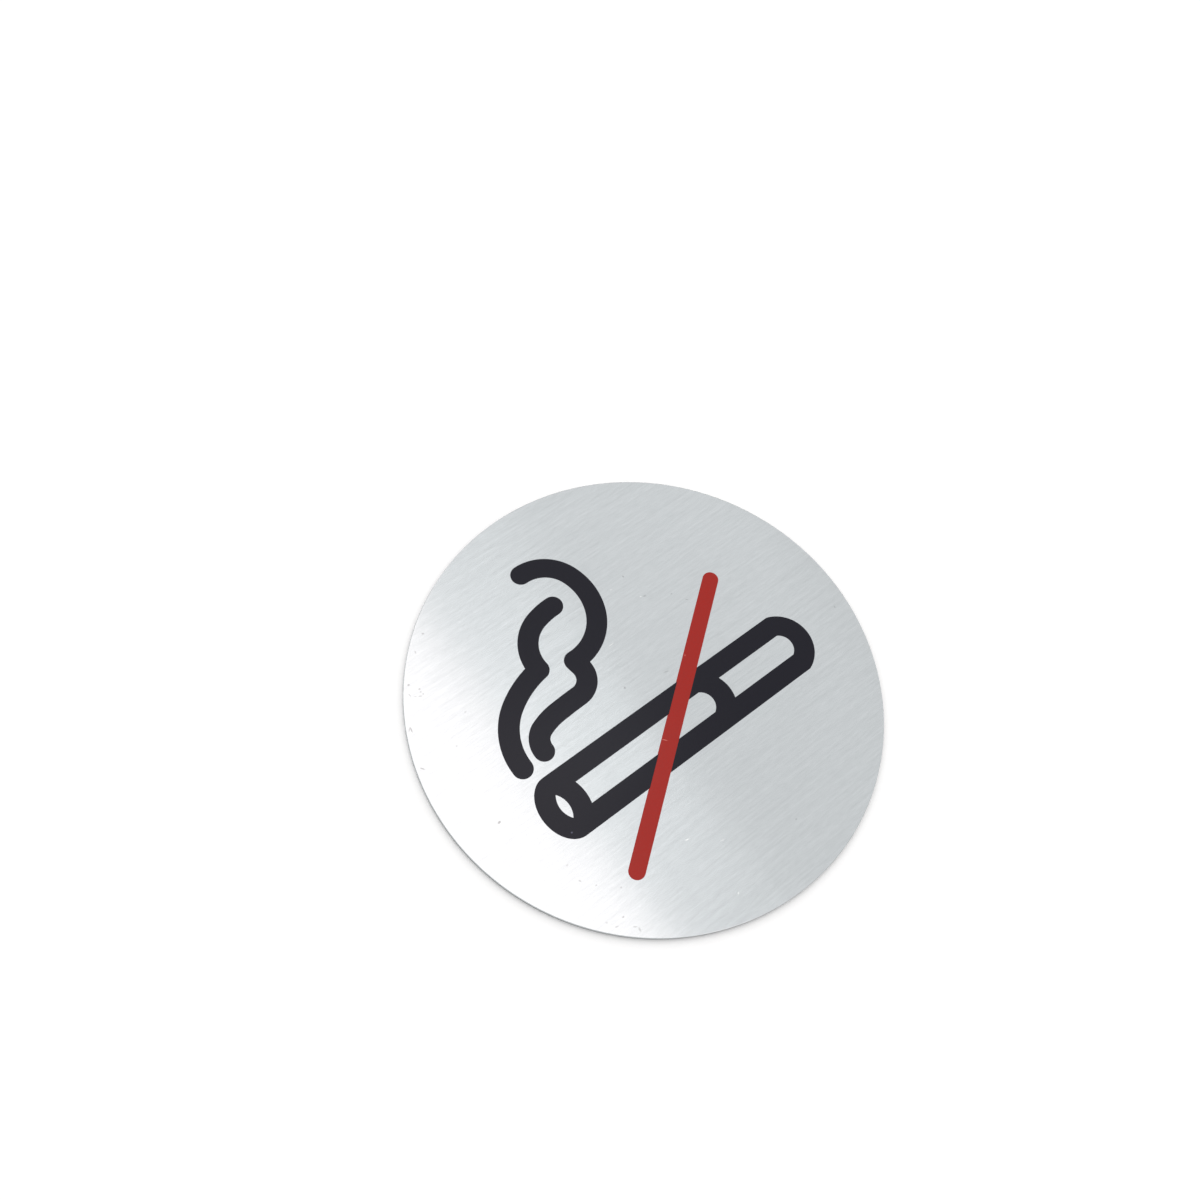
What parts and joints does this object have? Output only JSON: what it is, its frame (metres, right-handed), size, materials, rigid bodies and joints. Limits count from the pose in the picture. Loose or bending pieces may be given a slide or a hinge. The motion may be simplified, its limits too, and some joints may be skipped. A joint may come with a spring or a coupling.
{
  "type": "no smoking sign",
  "caption": "Round brushed metal disc sign with a printed cigarette, smoke and red slash, and a self-adhesive pad under a slit liner on its back.",
  "frame": {"origin": "centre of the sign's back, on the liner that it rests on", "axes": "+X along the printed cigarette towards its filter, +Y up the sign, +Z out of its printed face"},
  "size_m": [0.075, 0.075, 0.0008],
  "materials": {
    "brushed_metal": "hairline brushed stainless steel",
    "black_ink": "satin screen-printed ink",
    "red_ink": "satin screen-printed ink",
    "adhesive": "milky double-sided adhesive",
    "liner_paper": "glazed release paper"
  },
  "bodies": {
    "root": {"metal_disc": "brushed_metal", "cigarette_print": "black_ink", "smoke_print_left": "black_ink", "smoke_print_right": "black_ink", "slash_print": "red_ink", "adhesive_pad": "adhesive", "liner_large": "liner_paper", "liner_small": "liner_paper"}
  },
  "joints": []
}
